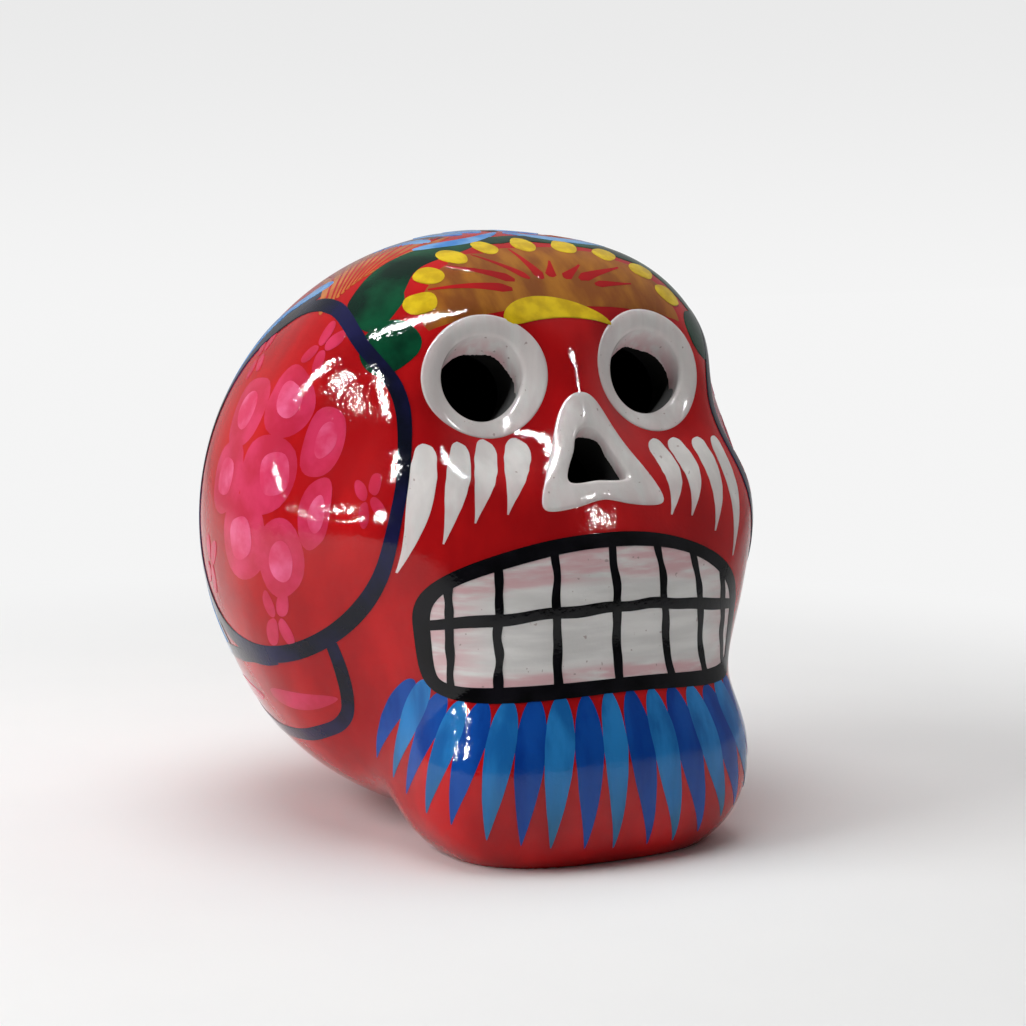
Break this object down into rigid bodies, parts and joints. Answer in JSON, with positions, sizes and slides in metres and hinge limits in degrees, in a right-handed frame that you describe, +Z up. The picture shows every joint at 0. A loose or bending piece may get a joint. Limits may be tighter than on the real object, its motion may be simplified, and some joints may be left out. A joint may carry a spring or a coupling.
{
  "type": "decorative skull",
  "caption": "Hollow painted clay skull ornament with open eye and nose holes, a framed grin, petal cheek strokes, a striped beard and flowered temples, standing on its jaw.",
  "frame": {"origin": "middle of the overall box, on the plane the skull stands on", "axes": "+Z up, -Y the way the face looks, +X to the skull's own left"},
  "size_m": [0.0848, 0.0913, 0.0878],
  "materials": {
    "red_clay": "fired clay under red paint and clear gloss varnish",
    "white_paint": "hand-brushed paint under clear gloss varnish",
    "black_paint": "hand-brushed paint under clear gloss varnish",
    "dark_blue_paint": "hand-brushed paint under clear gloss varnish",
    "light_blue_paint": "hand-brushed paint under clear gloss varnish",
    "yellow_paint": "hand-brushed paint under clear gloss varnish",
    "ochre_paint": "hand-brushed paint under clear gloss varnish",
    "navy_paint": "hand-brushed paint under clear gloss varnish"
  },
  "bodies": {
    "root": {"beard_stroke_1": "dark_blue_paint", "beard_stroke_10": "light_blue_paint", "beard_stroke_11": "dark_blue_paint", "beard_stroke_12": "light_blue_paint", "beard_stroke_13": "dark_blue_paint", "beard_stroke_14": "light_blue_paint", "beard_stroke_15": "dark_blue_paint", "beard_stroke_16": "light_blue_paint", "beard_stroke_17": "dark_blue_paint", "beard_stroke_2": "light_blue_paint", "beard_stroke_3": "dark_blue_paint", "beard_stroke_4": "light_blue_paint", "beard_stroke_5": "dark_blue_paint", "beard_stroke_6": "light_blue_paint", "beard_stroke_7": "dark_blue_paint", "beard_stroke_8": "light_blue_paint", "beard_stroke_9": "dark_blue_paint", "brow_crescent": "yellow_paint", "cranium_half": "red_clay", "face_half": "red_clay", "fan_dot_1": "yellow_paint", "fan_dot_2": "yellow_paint", "fan_dot_3": "yellow_paint", "fan_dot_4": "yellow_paint", "fan_dot_5": "yellow_paint", "fan_dot_6": "yellow_paint", "fan_dot_7": "yellow_paint", "fan_dot_8": "yellow_paint", "fan_dot_9": "yellow_paint", "forehead_fan": "ochre_paint", "left_cheek_stroke_1": "white_paint", "left_cheek_stroke_2": "white_paint", "left_cheek_stroke_3": "white_paint", "left_cheek_stroke_4": "white_paint", "left_eye_rim": "white_paint", "left_temple_oval": "navy_paint", "lower_tooth_1": "white_paint", "lower_tooth_2": "white_paint", "lower_tooth_3": "white_paint", "lower_tooth_4": "white_paint", "lower_tooth_5": "white_paint", "lower_tooth_6": "white_paint", "lower_tooth_7": "white_paint", "lower_tooth_8": "white_paint", "mouth_frame": "black_paint", "nose_rim": "white_paint", "right_cheek_stroke_1": "white_paint", "right_cheek_stroke_2": "white_paint", "right_cheek_stroke_3": "white_paint", "right_cheek_stroke_4": "white_paint", "right_eye_rim": "white_paint", "right_temple_oval": "navy_paint", "upper_tooth_1": "white_paint", "upper_tooth_2": "white_paint", "upper_tooth_3": "white_paint", "upper_tooth_4": "white_paint", "upper_tooth_5": "white_paint", "upper_tooth_6": "white_paint", "upper_tooth_7": "white_paint", "upper_tooth_8": "white_paint"}
  },
  "joints": []
}
